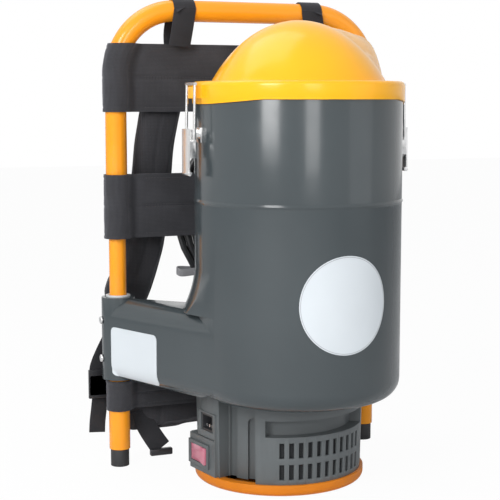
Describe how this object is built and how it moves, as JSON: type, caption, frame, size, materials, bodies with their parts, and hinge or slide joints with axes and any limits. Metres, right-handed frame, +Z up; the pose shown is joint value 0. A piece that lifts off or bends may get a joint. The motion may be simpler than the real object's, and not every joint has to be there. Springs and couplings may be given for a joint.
{
  "type": "backpack vacuum cleaner",
  "caption": "Backpack vacuum cleaner with a winged canister, lifting domed lid, latches, slotted motor base and padded telescopic tube frame.",
  "frame": {"origin": "on the floor, under the middle of the bounding box without the power lead", "axes": "+Z up, the canister's front faces -Y, the shoulder pads are on the +Y side, +X to the right seen from the front"},
  "size_m": [0.388, 0.3144, 0.5549],
  "materials": {
    "canister_grey": "gloss",
    "case_grey": "satin",
    "orange_plastic": "gloss",
    "base_orange": "satin",
    "tube_orange": "gloss",
    "steel": "brushed",
    "dark_steel": "satin",
    "copper": "satin",
    "rubber": "matte",
    "black_plastic": "satin",
    "pale_plastic": "satin",
    "red_plastic": "gloss",
    "bag_paper": "matte",
    "filter_felt": "matte",
    "fabric": "woven",
    "webbing": "woven"
  },
  "bodies": {
    "housing": {"canister_housing": "canister_grey", "intake_grid": "black_plastic", "filter_basket": "black_plastic", "dust_bag": "bag_paper", "bag_collar": "bag_paper", "latch_bases": "steel", "latch_pins": "steel", "motor_gasket": "rubber", "fan_housing": "steel", "upper_bearing": "steel", "lower_bearing": "steel", "motor_frame": "steel", "stator": "dark_steel", "brush_holders": "black_plastic", "motor_mount": "rubber", "motor_housing": "case_grey", "exhaust_filter": "filter_felt", "base_plate": "base_orange", "base_screws": "steel", "inlet_socket": "black_plastic", "inlet_pins": "steel", "switch_frame": "black_plastic", "lower_tubes": "tube_orange", "tube_caps": "black_plastic", "socket_collars": "pale_plastic", "socket_screws": "steel", "lumbar_band": "fabric", "hip_pad": "fabric", "ladder_locks": "black_plastic", "strap_tails": "webbing", "belt_webbing": "webbing", "belt_buckle": "black_plastic"},
    "carry_frame": {"u_frame": "tube_orange", "slide_tubes": "tube_orange", "frame_rivets": "steel", "upper_band": "fabric", "mid_band": "fabric", "top_loops": "webbing", "shoulder_pad_left": "fabric", "shoulder_pad_right": "fabric", "pad_webbing_left": "webbing", "pad_webbing_right": "webbing", "lead_hank": "rubber", "lead_connector": "rubber", "lead_plug": "rubber", "lead_tie": "webbing"},
    "lid": {"lid": "orange_plastic", "lid_gasket": "rubber", "hose_socket": "black_plastic"},
    "lever_left": {"lever_left": "steel"},
    "lever_right": {"lever_right": "steel"},
    "bail_left": {"bail_left": "steel"},
    "bail_right": {"bail_right": "steel"},
    "rotor": {"shaft": "steel", "armature": "copper", "commutator": "copper", "impeller": "steel"},
    "rocker": {"switch_rocker": "red_plastic"}
  },
  "joints": [
    {"name": "frame_height", "type": "slide", "parent": "housing", "child": "carry_frame", "axis": [0, 0, -1], "range_m": [0, 0.06], "deforming": ["pad_webbing_left", "pad_webbing_right"]},
    {"name": "lid_lift", "type": "slide", "parent": "housing", "child": "lid", "axis": [0, 0, 1], "range_m": [0, 0.03]},
    {"name": "lever_left_turn", "type": "hinge", "parent": "housing", "child": "lever_left", "pos_m": [-0.127, -0.04025, 0.402], "axis": [0, 1, 0], "range_deg": [0, 90]},
    {"name": "lever_right_turn", "type": "hinge", "parent": "housing", "child": "lever_right", "pos_m": [0.127, -0.04025, 0.402], "axis": [0, -1, 0], "range_deg": [0, 90]},
    {"name": "bail_left_turn", "type": "hinge", "parent": "lever_left", "child": "bail_left", "pos_m": [-0.127, -0.04025, 0.393], "axis": [0, 1, 0], "range_deg": [-165, 0]},
    {"name": "bail_right_turn", "type": "hinge", "parent": "lever_right", "child": "bail_right", "pos_m": [0.127, -0.04025, 0.393], "axis": [0, -1, 0], "range_deg": [-165, 0]},
    {"name": "switch_rock", "type": "hinge", "parent": "housing", "child": "rocker", "pos_m": [-0.09698, 0.0126, 0.033], "axis": [0, 0, 1], "range_deg": [0, 12]},
    {"name": "rotor_spin", "type": "hinge", "parent": "housing", "child": "rotor", "pos_m": [0, -0.01125, 0.1], "axis": [0, 0, 1], "continuous": true}
  ],
  "couplings": [
    {"joint": "lever_left_turn", "follows": "lid_lift", "rad_per_m": 52.3},
    {"joint": "lever_right_turn", "follows": "lid_lift", "rad_per_m": 52.3},
    {"joint": "bail_left_turn", "follows": "lid_lift", "rad_per_m": -95.9},
    {"joint": "bail_right_turn", "follows": "lid_lift", "rad_per_m": -95.9}
  ]
}
